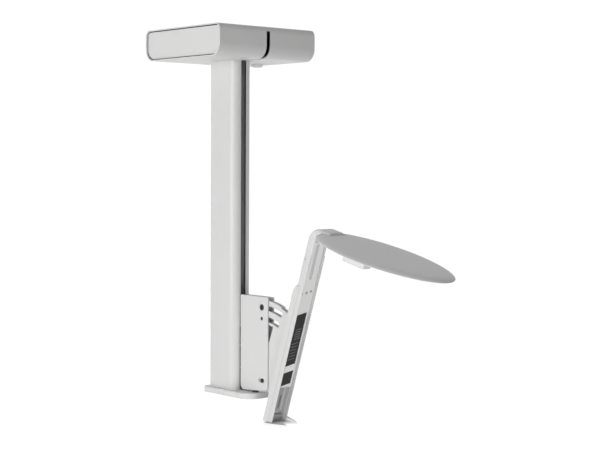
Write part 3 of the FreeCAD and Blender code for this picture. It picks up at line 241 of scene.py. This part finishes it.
def finish_cad_nodes():
    """Give every carried-over node the finish of its slot in the record, or its own."""
    for part in RECORD["subparts"]:
        finish = OWN_FINISHES.get(part["node"], FINISHES[part["material_slot"]])
        for place in NODES[part["node"]].material_slots:
            place.material = finish


# ---- frames of the moving parts, placed at their joints

JOINTS = {joint["name"]: joint for joint in frame["joints"]}
HEAD_PITCH = math.radians(13.0)


def turned_frame(origin, angle):
    """The place of a part whose frame stands at origin, turned about X."""
    return Matrix.Translation(Vector(origin)) @ Matrix.Rotation(angle, 4, "X")


UP_THE_ARM = JOINTS["arm_extend"]["axis"]
ARM_LEAN = math.atan2(-UP_THE_ARM[1], UP_THE_ARM[2])
ARM_PLACE = turned_frame(JOINTS["arm_tilt"]["pos_m"], ARM_LEAN)
HEAD_PLACE = turned_frame(JOINTS["head_tilt"]["pos_m"], HEAD_PITCH)
STATION_PLACE = Matrix.Identity(4)


# ---- mesh helpers, in millimetres in a part's own frame

def loose_object(name, points, faces):
    """An object from points in millimetres, with its faces turned outwards."""
    mesh = bpy.data.meshes.new(name)
    mesh.from_pydata([Vector(point) * MM for point in points], [], faces)
    shape = bmesh.new()
    shape.from_mesh(mesh)
    bmesh.ops.recalc_face_normals(shape, faces=shape.faces)
    shape.to_mesh(mesh)
    shape.free()
    made = bpy.data.objects.new(name, mesh)
    bpy.context.scene.collection.objects.link(made)
    return made


def prism_faces(count):
    """The faces of a prism whose lower ring of points comes before its upper one."""
    sides = [(n, (n + 1) % count, (n + 1) % count + count, n + count) for n in range(count)]
    return [tuple(range(count)), tuple(range(2 * count - 1, count - 1, -1))] + sides


def block(name, low, high):
    """A box between two corners."""
    (x0, y0, z0), (x1, y1, z1) = low, high
    points = [(x, y, z) for x in (x0, x1) for y in (y0, y1) for z in (z0, z1)]
    faces = [(0, 1, 3, 2), (4, 6, 7, 5), (0, 4, 5, 1), (2, 3, 7, 6), (0, 2, 6, 4), (1, 5, 7, 3)]
    return loose_object(name, points, faces)


def round_bar(name, axis, radius, centre, low, high, steps=48):
    """A round bar along X or Z; the centre gives its two other coordinates."""
    points = []
    for along in (low, high):
        for step in range(steps):
            angle = 2 * math.pi * step / steps
            one, two = centre[0] + radius * math.cos(angle), centre[1] + radius * math.sin(angle)
            points.append((along, one, two) if axis == "x" else (one, two, along))
    return loose_object(name, points, prism_faces(steps))


def carve(target, *tools):
    """Take closed shapes away from a piece."""
    for tool in tools:
        cutter = target.modifiers.new("carve", "BOOLEAN")
        cutter.operation = "DIFFERENCE"
        cutter.solver = "EXACT"
        cutter.object = tool
        bake(target)
        bpy.data.objects.remove(tool)


def bake(thing):
    """Turn a piece with modifiers into a plain mesh."""
    bpy.context.view_layer.update()
    graph = bpy.context.evaluated_depsgraph_get()
    mesh = bpy.data.meshes.new_from_object(thing.evaluated_get(graph))
    thing.modifiers.clear()
    thing.data = mesh


EASE_STEPS = 3


def ease_edges(thing, width):
    """Round a piece's edges a little."""
    bevel = thing.modifiers.new("eased", "BEVEL")
    bevel.width = width * MM
    bevel.segments = EASE_STEPS
    bevel.limit_method = "ANGLE"
    bake(thing)


SHARP_ANGLE = math.radians(35)


def smooth(thing):
    """Shade a piece smoothly, with its sharp edges kept."""
    for face in thing.data.polygons:
        face.use_smooth = True
    thing.data.set_sharp_from_angle(angle=SHARP_ANGLE)


def settle(thing, place, body, slot, material=None):
    """Stand a finished piece in the row frame and hang it on its body."""
    thing.data.transform(place)
    thing.data.materials.clear()
    thing.data.materials.append(material or FINISHES[slot])
    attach(thing, body)


# ---- label marks: repeated bars from one geometry node tree

def bars_tree():
    """A line of equal bars, with named inputs for count, step and bar size."""
    tree = bpy.data.node_groups.new("row_of_bars", "GeometryNodeTree")
    for label, kind in (("Count", "NodeSocketInt"), ("Step", "NodeSocketVector"),
                        ("Start", "NodeSocketVector"), ("Bar Size", "NodeSocketVector"),
                        ("Turn", "NodeSocketVector"), ("Material", "NodeSocketMaterial")):
        tree.interface.new_socket(name=label, in_out="INPUT", socket_type=kind)
    tree.interface.new_socket(name="Geometry", in_out="OUTPUT", socket_type="NodeSocketGeometry")
    entry, leave = tree.nodes.new("NodeGroupInput"), tree.nodes.new("NodeGroupOutput")
    line = tree.nodes.new("GeometryNodeMeshLine")
    bar = tree.nodes.new("GeometryNodeMeshCube")
    spread_out = tree.nodes.new("GeometryNodeInstanceOnPoints")
    real = tree.nodes.new("GeometryNodeRealizeInstances")
    paint = tree.nodes.new("GeometryNodeSetMaterial")
    for source, target in ((entry.outputs["Count"], line.inputs["Count"]),
                           (entry.outputs["Step"], line.inputs["Offset"]),
                           (entry.outputs["Start"], line.inputs["Start Location"]),
                           (entry.outputs["Bar Size"], bar.inputs["Size"]),
                           (line.outputs["Mesh"], spread_out.inputs["Points"]),
                           (bar.outputs["Mesh"], spread_out.inputs["Instance"]),
                           (entry.outputs["Turn"], spread_out.inputs["Rotation"]),
                           (spread_out.outputs["Instances"], real.inputs["Geometry"]),
                           (real.outputs["Geometry"], paint.inputs["Geometry"]),
                           (entry.outputs["Material"], paint.inputs["Material"]),
                           (paint.outputs["Geometry"], leave.inputs["Geometry"])):
        tree.links.new(source, target)
    return tree


BARS = bars_tree()


def row_of_bars(name, count, step, start, size, turn, material):
    """The geometry nodes' bars as a plain mesh, sizes in millimetres."""
    made = bpy.data.objects.new(name, bpy.data.meshes.new(name))
    bpy.context.scene.collection.objects.link(made)
    nodes = made.modifiers.new("bars", "NODES")
    nodes.node_group = BARS
    wanted = {"Count": count, "Step": [n * MM for n in step], "Start": [n * MM for n in start],
              "Bar Size": [n * MM for n in size], "Turn": turn, "Material": material}
    for item in BARS.interface.items_tree:
        if item.in_out == "INPUT":
            nodes[item.identifier] = wanted[item.name]
    bake(made)
    return made


LABEL_FACE, INK_THICK = -73.05, 0.2
LABEL_RISE, LABEL_WIDTH = 6.5, 29.0
LABEL_SLOPE = LABEL_RISE / LABEL_WIDTH
LABEL_INK = surface("label_grey_ink", "moulded", (0.22, 0.22, 0.22), 0.35, 0.02)
LABEL_ROWS = (
    {"name": "label_lines", "count": 5, "step": -6.0, "start": (1, 166), "size": (16, 1.8)},
    {"name": "label_stripes", "count": 6, "step": -8.0, "start": (-1, 130), "size": (18, 1.5)},
)


def label_marks():
    """Plain bars that follow the label's slanted ends, with no lettering."""
    turn = (0, -math.atan(LABEL_SLOPE), 0)
    for row in LABEL_ROWS:
        (across, height), (wide, tall) = row["start"], row["size"]
        marks = row_of_bars(row["name"], row["count"], (0, 0, row["step"]), (across, LABEL_FACE, height),
                            (wide, INK_THICK, tall), turn, LABEL_INK)
        settle(marks, ARM_PLACE, "arm", "label_pale", LABEL_INK)


# ---- arm front: closed slot floor and sunk plugs

SLOT_HALF, SLOT_LOW, SLOT_HIGH = 5.1, 292.1, 379.9
SUNK_BACK, FLOOR_FRONT, PLUG_FRONT = -70.9, -71.3, -71.2
PLUG_HEIGHT, PLUG_SIDE = 258.0, 13.0
PLUG_HALF, PLUG_REACH, PLUG_EASE = 3.4, 3.5, 0.1


def oblong(name, half_wide, low, high, back, front, steps=10):
    """A flat bar with round ends, standing up the arm."""
    ring = []
    for centre, start in ((high - half_wide, 0.0), (low + half_wide, math.pi)):
        for step in range(steps + 1):
            angle = start + math.pi * step / steps
            ring.append((half_wide * math.cos(angle), centre + half_wide * math.sin(angle)))
    points = [(x, back, z) for x, z in ring] + [(x, front, z) for x, z in ring]
    return loose_object(name, points, prism_faces(len(ring)))


def arm_front_details():
    """The closed floor of the cable slot, and three grey plugs sunk in the holes below it; their grey is partly
    painted shade of the holes.
    """
    floor = oblong("slot_floor", SLOT_HALF, SLOT_LOW, SLOT_HIGH, SUNK_BACK, FLOOR_FRONT)
    settle(floor, ARM_PLACE, "arm", "arm_coat")
    for number, x in enumerate((-PLUG_SIDE, 0.0, PLUG_SIDE)):
        middle = PLUG_HEIGHT + x * LABEL_SLOPE
        plug = oblong("front_plug_%d" % number, PLUG_HALF, middle - PLUG_REACH, middle + PLUG_REACH,
                      SUNK_BACK, PLUG_FRONT)
        plug.data.transform(Matrix.Translation((x * MM, 0, 0)))
        ease_edges(plug, PLUG_EASE)
        # the plugs' grey is partly painted shade of the holes they sit in
        settle(plug, ARM_PLACE, "arm", "grey_plastic")


# ---- carriage: painted shade, a black strip in the gap between column and bracket

STRIP_HEIGHTS = ((-871, -822), (-819, -768), (-765, -722))
STRIP_CORNERS = ((-9.8, -59.4), (-6.4, -56.3))
STRIP_EASE = 0.4


def carriage_gap_painted_shade():
    """Painted shade: a black strip up the bracket's back, where the gap to the column lies in shade, in three
    lengths with small breaks between.
    """
    near, far = STRIP_CORNERS
    for number, (low, high) in enumerate(STRIP_HEIGHTS):
        strip = block("carriage_seal_%d" % number, (*near, low), (*far, high))
        ease_edges(strip, STRIP_EASE)
        # the strip's black is painted shade of the gap
        settle(strip, STATION_PLACE, "carriage", "black_rubber")


# ---- head housing: painted shade, a black ring in the gap between each end cap and the sleeve's rim

HOUSING_BACK, HOUSING_TALL = 150.0, 76.0
TOP_ROUND, BOTTOM_ROUND = 16.0, 30.0
GAP_SHADE_OUTSIDE, GAP_SHADE_INSIDE = 3.05, 5.15
GAP_SHADE_START, GAP_SHADE_END = 137.6, 140.2


def housing_outline(inset, steps=8):
    """The housing's side profile, moved inwards, as points of Y and Z."""
    side, top, bottom = HOUSING_BACK - inset, -inset, inset - HOUSING_TALL
    upper, lower = TOP_ROUND - inset, BOTTOM_ROUND - inset
    corners = ((side - upper, top - upper, upper, 0.0), (upper - side, top - upper, upper, 90.0),
               (lower - side, bottom + lower, lower, 180.0), (side - lower, bottom + lower, lower, 270.0))
    outline = []
    for y, z, radius, start in corners:
        for step in range(steps + 1):
            angle = math.radians(start + 90.0 * step / steps)
            outline.append((y + radius * math.cos(angle), z + radius * math.sin(angle)))
    return outline


def cap_gap_painted_shade():
    """Painted shade: a black ring in the gap round each end cap, where the groove lies in shade."""
    outer, inner = housing_outline(GAP_SHADE_OUTSIDE), housing_outline(GAP_SHADE_INSIDE)
    count = len(outer)
    for side, name in ((-1, "cap_gap_shade_left"), (1, "cap_gap_shade_right")):
        points = []
        for x in (GAP_SHADE_START, GAP_SHADE_END):
            points += [(side * x, y, z) for y, z in outer]
            points += [(side * x, y, z) for y, z in inner]
        faces = []
        for n in range(count):
            after = (n + 1) % count
            for a, b in ((0, 1), (1, 3), (3, 2), (2, 0)):
                faces.append((a * count + n, a * count + after, b * count + after, b * count + n))
        shade_ring = loose_object(name, points, faces)
        # the ring's black is painted shade of the groove
        settle(shade_ring, STATION_PLACE, "station", "black_rubber")


# ---- lamp head: a leaf that thins to its edge, with an opal panel below

OVAL_LONG, OVAL_WIDE, OVAL_MIDDLE = 196.0, 101.0, -162.0
HINGE_END, LEAF_START = -20.0, -60.0
HINGE_BORE, BORE_END = 3.3, 44.4
NOTCH_SIDE, NOTCH_START, LEAF_REAR = 23.8, -11, 18
HOLLOW_REAR, PANEL_REAR = -30, -30.4
PANEL_GAP_SIDE, PANEL_GAP_FRONT, PANEL_GAP_BACK = 10.4, -116.9, -59.1
# cutters reach this far, past the head's sides, its rear and both its faces
WELL_CLEAR, WELL_BEHIND, WELL_ABOVE = 150, 60, 20


def level_rings(*rings):
    """Rings of one height all round, from pairs of inset and height."""
    return [(inset, height, height) for inset, height in rings]


CROWN = level_rings((96, 4.95), (60, 4.9), (30, 4.6), (16, 3.7), (8, 2.3), (3, 0.4), (0.8, -1.0),
                    (0.0, -2.0))
UNDERSIDE = [(0.6, -2.8, -3.4), (2.5, -3.2, -4.6), (14, -4.2, -5.0), (26, -4.9, -5.0), (30, -5.0, -5.0),
             (60, -5.0, -5.0), (96, -5.0, -5.0)]
HOLLOW = level_rings((96, -3.2), (33, -3.2), (33, -8.0), (96, -8.0))
PANEL = level_rings((96, -3.3), (34, -3.3), (33.4, -3.7), (33.4, -4.0), (34, -4.3), (96, -4.3))


def leaf_solid(name, rings, steps=160):
    """A closed solid of stacked ovals: how far in from the edge, the height, the height at the hinge."""
    points = [(0.0, OVAL_MIDDLE, rings[0][1])]
    for inset, height, hinge_height in rings:
        for step in range(steps):
            angle = 2 * math.pi * step / steps
            y = OVAL_MIDDLE + (OVAL_LONG - inset) * math.cos(angle)
            share = min(max((y - LEAF_START) / (HINGE_END - LEAF_START), 0.0), 1.0)
            share = share * share * (3.0 - 2.0 * share)
            z = height + (hinge_height - height) * share
            points.append(((OVAL_WIDE - inset) * math.sin(angle), y, z))
    points.append((0.0, OVAL_MIDDLE, rings[-1][1]))
    last = len(points) - 1
    faces = []
    for step in range(steps):
        after = (step + 1) % steps
        faces.append((0, 1 + after, 1 + step))
        faces.append((last, last - steps + step, last - steps + after))
        for ring in range(len(rings) - 1):
            a, b = 1 + ring * steps, 1 + (ring + 1) * steps
            faces.append((a + step, a + after, b + after, b + step))
    return loose_object(name, points, faces)


def head_cutter(name, half_wide, start, end=WELL_BEHIND):
    """A box through the head's whole thickness, from start to end along Y."""
    return block(name, (-half_wide, start, -WELL_ABOVE), (half_wide, end, WELL_ABOVE))


def lamp_dome():
    """The oval cover: nearly flat, thinning to its edge, hollow below and notched for the elbow."""
    dome = leaf_solid("lamp_dome", CROWN + UNDERSIDE)
    hollow = leaf_solid("hollow", HOLLOW)
    carve(hollow, head_cutter("behind", WELL_CLEAR, HOLLOW_REAR))
    notch = head_cutter("notch", NOTCH_SIDE, NOTCH_START)
    rear = head_cutter("rear", WELL_CLEAR, LEAF_REAR)
    pin_bore = round_bar("pin_bore", "x", HINGE_BORE, (0.0, 0.0), -BORE_END, BORE_END)
    carve(dome, hollow, notch, rear, pin_bore)
    smooth(dome)
    settle(dome, HEAD_PLACE, "head", "head_coat")
    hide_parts("lamp_shell")


def lamp_panel():
    """The opal panel under the leaf, with an opening for the camera pod."""
    panel = leaf_solid("lamp_panel", PANEL)
    opening = head_cutter("opening", PANEL_GAP_SIDE, PANEL_GAP_FRONT, PANEL_GAP_BACK)
    behind = head_cutter("behind", WELL_CLEAR, PANEL_REAR)
    carve(panel, opening, behind)
    smooth(panel)
    settle(panel, HEAD_PLACE, "head", "diffuser_sheet")
    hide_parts("light_diffuser")


# ---- camera pod: a longer, lower housing than the plain shell it replaces

POD_SIDE, POD_FRONT, POD_BACK, POD_LOW, POD_TOP = 13.0, -117.5, -47.0, -44.0, -4.5
POD_EASE, POD_WALL, POD_FLOOR = 4.0, 5.5, 6
LENS_MIDDLE, LENS_HOLE = -88.0, 7.1
PAST_FLOOR = 5


def camera_pod():
    """The camera's housing under the leaf: eased edges, hollow, with a round hole below the lens."""
    pod = block("camera_pod", (-POD_SIDE, POD_FRONT, POD_LOW), (POD_SIDE, POD_BACK, 0))
    ease_edges(pod, POD_EASE)
    above = block("above", (-2 * POD_SIDE, POD_FRONT - POD_SIDE, POD_TOP),
                  (2 * POD_SIDE, POD_BACK + POD_SIDE, PAST_FLOOR))
    room = block("room", (POD_WALL - POD_SIDE, POD_FRONT + POD_WALL, POD_LOW + POD_FLOOR),
                 (POD_SIDE - POD_WALL, POD_BACK - POD_WALL, PAST_FLOOR))
    lens_hole = round_bar("lens_hole", "z", LENS_HOLE, (0.0, LENS_MIDDLE), POD_LOW - PAST_FLOOR,
                          POD_LOW + POD_FLOOR + PAST_FLOOR)
    carve(pod, above, room, lens_hole)
    smooth(pod)
    settle(pod, HEAD_PLACE, "head", "head_coat")
    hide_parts("pod_shell")


# ---- foot: a forked plate whose right prong rises as a fin

FOOT_LEVEL, FOOT_CENTRE, FOOT_TURN = -938.0, -189.0, math.radians(22.0)
FOOT_THICK, FOOT_EASE = 5.4, 1.0
FOOT_OUTLINE = [(-20, 29), (24, 30), (29, 12), (30, -8), (27, -39), (16, -25), (7, -17), (0, -14),
                (-7, -17), (-17, -27), (-30, -45), (-30, -8), (-27, 12)]
FIN_OUTLINE = [(26, 6), (29.2, -12), (27, -37), (22, -29), (20, -8)]
FIN_TOPS = (15.0, 11.0, 0.8, 2.0, 12.0)
FIN_SUNK, FIN_EASE, FIN_INSIDE = 1.0, 0.6, 23.5
# the room that the rear channel needs beside the fin, in the row frame
CHANNEL_SPACE = ((-60, -260, -960), (FIN_INSIDE, -140, -900))


def forked_foot():
    """The plate under the arm, with a notch to the front and a tapering fin on its right prong."""
    place = Matrix.Translation(Vector((0, FOOT_CENTRE, FOOT_LEVEL)) * MM)
    place = place @ Matrix.Rotation(FOOT_TURN, 4, "Z")
    points = [(x, y, -FOOT_THICK) for x, y in FOOT_OUTLINE] + [(x, y, 0.0) for x, y in FOOT_OUTLINE]
    plate = loose_object("forked_foot", points, prism_faces(len(FOOT_OUTLINE)))
    ease_edges(plate, FOOT_EASE)
    settle(plate, place, "arm", "cast_foot")
    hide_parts("foot_fork")
    points = [(x, y, -FIN_SUNK) for x, y in FIN_OUTLINE]
    points += [(x, y, top) for (x, y), top in zip(FIN_OUTLINE, FIN_TOPS)]
    fin = loose_object("foot_fin", points, prism_faces(len(FIN_OUTLINE)))
    ease_edges(fin, FIN_EASE)
    channel_space = block("channel_space", *CHANNEL_SPACE)
    channel_space.data.transform(place.inverted())
    carve(fin, channel_space)
    settle(fin, place, "arm", "cast_foot")


# ---- stage, light and camera, in metres

LIGHT_LEVELS = {"surround": 0.344, "backdrop": 0.70, "wash": 0.68}
AWAY_FROM_CAMERA = (0.65, 0.76, 0.0)
FLOOR_LEVEL, FLOOR_SIZE, FLOOR_SHADE = -1.45, 40.0, 0.9
WASH_START, WASH_END = 0.2, 1.8
BACKDROP_START, BACKDROP_END = 0.55, 0.93
OBJECT_MIDDLE = (0.0, -0.2, -0.5)
LAMPS = (
    {"name": "left_softbox", "place": (-3.2, -0.2, -0.3), "size": 1.8, "power": 50.5},
    {"name": "low_softbox", "place": (-0.6, -1.2, -1.40), "size": 1.0, "power": 8.0},
    {"name": "top_softbox", "place": (-0.5, -0.8, 2.2), "size": 1.6, "power": 3.1},
)
CAMERA_TURN, CAMERA_PITCH, CAMERA_ROLL = (math.radians(angle) for angle in (-40.691, 2.424, 0.276))
CAMERA_PLACE = (-2.11615, -2.72813, -0.32959)
CAMERA_LENS, CAMERA_SENSOR, CAMERA_REACH = 84.08, 36.0, 100.0


def rising_away(tree, place, start, end, low, high):
    """A value that rises smoothly from low to high in the direction away from the camera."""
    facing = maths(tree, "ShaderNodeVectorMath", "DOT_PRODUCT")
    facing.inputs[1].default_value = AWAY_FROM_CAMERA
    tree.links.new(tree.nodes.new("ShaderNodeTexCoord").outputs[place], facing.inputs[0])
    rise = tree.nodes.new("ShaderNodeMapRange")
    rise.interpolation_type = "SMOOTHSTEP"
    for label, value in (("From Min", start), ("From Max", end), ("To Min", low), ("To Max", high)):
        rise.inputs[label].default_value = value
    tree.links.new(facing.outputs["Value"], rise.inputs["Value"])
    return rise.outputs["Result"]


def pale_floor():
    """A wide plain floor that brightens behind the object."""
    mesh = bpy.data.meshes.new("pale_floor")
    half = FLOOR_SIZE / 2
    corners = [(-half, -half), (half, -half), (half, half), (-half, half)]
    mesh.from_pydata([(x, y, FLOOR_LEVEL) for x, y in corners], [], [(0, 1, 2, 3)])
    floor = bpy.data.objects.new("pale_floor", mesh)
    bpy.context.scene.collection.objects.link(floor)
    material = bpy.data.materials.new("pale_floor")
    material.use_nodes = True
    tree = material.node_tree
    shader = tree.nodes["Principled BSDF"]
    shader.inputs["Base Color"].default_value = (FLOOR_SHADE, FLOOR_SHADE, FLOOR_SHADE, 1.0)
    shader.inputs["Roughness"].default_value = FLOOR_SHADE
    glow = rising_away(tree, "Object", WASH_START, WASH_END, 0.0, 1.0)
    tree.links.new(glow, shader.inputs["Emission Color"])
    shader.inputs["Emission Strength"].default_value = LIGHT_LEVELS["wash"]
    mesh.materials.append(material)


def soft_light(name, place, size, power):
    """A round area lamp that faces the object."""
    data = bpy.data.lights.new(name, "AREA")
    data.shape = "DISK"
    data.size = size
    data.energy = power
    lamp = bpy.data.objects.new(name, data)
    bpy.context.scene.collection.objects.link(lamp)
    lamp.location = place
    lamp.rotation_euler = (Vector(OBJECT_MIDDLE) - Vector(place)).to_track_quat("-Z", "Y").to_euler()


def studio():
    """White surroundings behind the object, falling to grey in front of it, and three soft lamps."""
    world = bpy.data.worlds.new("studio")
    bpy.context.scene.world = world
    world.use_nodes = True
    tree = world.node_tree
    backdrop = tree.nodes["Background"]
    surround = LIGHT_LEVELS["surround"]
    level = rising_away(tree, "Generated", BACKDROP_START, BACKDROP_END, surround,
                        surround + LIGHT_LEVELS["backdrop"])
    tree.links.new(level, backdrop.inputs["Strength"])
    backdrop.inputs["Color"].default_value = (1.0, 1.0, 1.0, 1.0)
    for lamp in LAMPS:
        soft_light(**lamp)


def studio_camera():
    """Long lens, in front of the object and to its left, looking slightly down."""
    back = Vector((math.sin(CAMERA_TURN) * math.cos(CAMERA_PITCH),
                   -math.cos(CAMERA_TURN) * math.cos(CAMERA_PITCH), math.sin(CAMERA_PITCH)))
    level = Vector((math.cos(CAMERA_TURN), math.sin(CAMERA_TURN), 0.0))
    upward = back.cross(level)
    right = level * math.cos(CAMERA_ROLL) + upward * math.sin(CAMERA_ROLL)
    top = -level * math.sin(CAMERA_ROLL) + upward * math.cos(CAMERA_ROLL)
    data = bpy.data.cameras.new("studio_camera")
    data.lens = CAMERA_LENS
    data.sensor_width = CAMERA_SENSOR
    data.clip_end = CAMERA_REACH
    camera = bpy.data.objects.new("studio_camera", data)
    bpy.context.scene.collection.objects.link(camera)
    place = Matrix((right, top, back)).transposed().to_4x4()
    place.translation = Vector(CAMERA_PLACE)
    camera.matrix_world = place
    bpy.context.scene.camera = camera


bpy.context.scene.view_settings.view_transform = "Standard"
finish_cad_nodes()
label_marks()
arm_front_details()
carriage_gap_painted_shade()
cap_gap_painted_shade()
lamp_dome()
lamp_panel()
camera_pod()
forked_foot()
pale_floor()
studio()
studio_camera()
